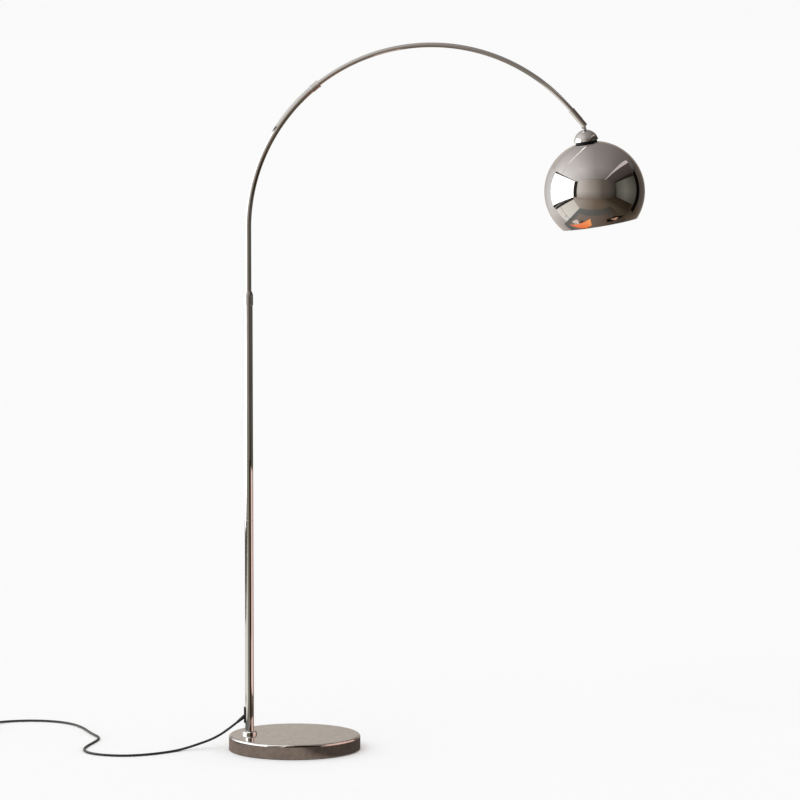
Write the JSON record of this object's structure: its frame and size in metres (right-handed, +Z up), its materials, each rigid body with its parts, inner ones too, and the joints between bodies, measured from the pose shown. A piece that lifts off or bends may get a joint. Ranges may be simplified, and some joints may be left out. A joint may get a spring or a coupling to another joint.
{
  "type": "arc floor lamp",
  "caption": "Chrome arc floor lamp: round weighted base, straight pole, telescoping curved arm and a tilting ball shade open underneath, with a mains lead and foot switch.",
  "frame": {"origin": "centre of the base's underside, on the floor", "axes": "+Z up, +X from the base towards the shade, +Y to the back as the lamp is seen with its shade on the right"},
  "size_m": [1.7393, 0.5736, 1.7689],
  "materials": {
    "base_chrome": "polished",
    "tube_chrome": "polished",
    "shade_chrome": "polished",
    "fixings": "satin",
    "concrete": "matte",
    "felt": "matte",
    "nylon": "matte",
    "black_rubber": "satin",
    "cord_sheath": "satin",
    "inner_flex": "satin",
    "tie": "matte",
    "black_plastic": "satin",
    "brass": "satin",
    "pin_nickel": "polished",
    "bulb_opal": "satin",
    "bulb_metal": "satin"
  },
  "bodies": {
    "base": {"base_cover": "base_chrome", "base_weight": "concrete", "base_plate": "fixings", "floor_pad": "felt", "plate_screws": "fixings", "pole_flange": "tube_chrome", "flange_screws": "fixings", "pole_stud": "fixings", "stud_nut": "fixings", "stud_washer": "fixings", "pole_foot_plug": "fixings", "lower_pole_tube": "tube_chrome", "pole_coupler": "fixings", "upper_pole_tube": "tube_chrome", "pole_collar": "tube_chrome", "stem_bush": "nylon", "cord_outlet": "black_rubber", "pole_flex": "inner_flex", "lamp_lead": "cord_sheath", "switch_base": "black_plastic", "switch_cover": "black_plastic", "switch_mechanism": "black_plastic", "switch_spring": "fixings", "switch_boots": "black_rubber", "plug_lead": "cord_sheath", "cord_coil": "cord_sheath", "cord_tie": "tie", "plug_tail": "cord_sheath", "plug_boot": "black_rubber", "plug_body": "black_plastic", "plug_pins": "pin_nickel"},
    "clamp": {"clamp_ring": "tube_chrome", "clamp_screw": "fixings"},
    "lower_arm": {"lower_arc_tube": "tube_chrome", "stem_foot": "nylon", "arc_collar": "tube_chrome", "arc_collar_screw": "fixings", "arc_bush": "nylon", "arm_flex": "inner_flex"},
    "upper_arm": {"upper_arc_tube": "tube_chrome", "upper_arc_foot": "nylon", "upper_flex": "inner_flex", "end_sleeve": "tube_chrome", "sleeve_screw": "fixings", "pivot_screw": "fixings"},
    "head": {"head_knuckle": "tube_chrome", "dome_cap": "tube_chrome", "neck_nut": "fixings", "cap_gasket": "black_plastic", "lampholder": "black_plastic", "lampholder_contacts": "brass", "head_flex": "inner_flex", "shade_ring": "black_plastic", "shade": "shade_chrome", "bulb_glass": "bulb_opal", "bulb_cap": "bulb_metal"},
    "pedal": {"switch_pedal": "black_plastic"}
  },
  "joints": [
    {"name": "arm_swivel", "type": "hinge", "parent": "base", "child": "clamp", "pos_m": [-0.113, 0, 1.139], "axis": [0, 0, 1], "range_deg": [-170, 170]},
    {"name": "height_slide", "type": "slide", "parent": "clamp", "child": "lower_arm", "axis": [0, 0, 1], "range_m": [-0.15, 0]},
    {"name": "reach_slide", "type": "hinge", "parent": "lower_arm", "child": "upper_arm", "pos_m": [0.342, 0, 1.308], "axis": [0, 1, 0], "range_deg": [-35, 0]},
    {"name": "head_tilt", "type": "hinge", "parent": "upper_arm", "child": "head", "pos_m": [0.71877, 0, 1.56721], "axis": [0, 1, 0], "range_deg": [-50, 45]},
    {"name": "pedal_press", "type": "slide", "parent": "base", "child": "pedal", "axis": [0, 0, -1], "range_m": [0, 0.003], "stiffness_N_per_m": 1200, "springref_m": -0.0015, "deforming": ["switch_spring"]}
  ]
}
